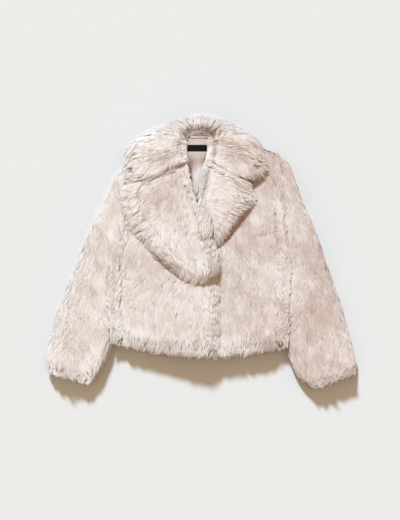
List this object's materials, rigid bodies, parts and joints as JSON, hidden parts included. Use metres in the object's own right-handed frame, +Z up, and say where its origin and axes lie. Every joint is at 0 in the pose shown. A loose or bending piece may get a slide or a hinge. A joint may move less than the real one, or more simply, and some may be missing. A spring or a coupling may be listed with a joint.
{
  "type": "faux fur coat",
  "caption": "Cropped faux fur coat in pale pink beige with a wide collar, long lapels and a lapped front, laid flat on its back with both sleeves beside the body.",
  "frame": {"origin": "the middle of the coat's box, on the surface that it lies on", "axes": "+X is the wearer's left, +Y runs from the hem to the collar, +Z is up from the surface; the back is down"},
  "size_m": [0.802, 0.7104, 0.0919],
  "materials": {
    "fur": "long faux fur on a knitted backing, pale tips over pinkish beige roots, locks parted here and there",
    "satin": "beige satin lining with a soft sheen",
    "woven_black": "plain black woven ribbon with a fine rib and no lettering"
  },
  "bodies": {
    "root": {"back": "fur", "left_front": "fur", "right_front": "fur", "left_sleeve": "fur", "right_sleeve": "fur", "left_lapel": "fur", "right_lapel": "fur", "collar": "fur", "lining": "satin", "hanger_loop": "satin", "label": "woven_black"}
  },
  "joints": []
}
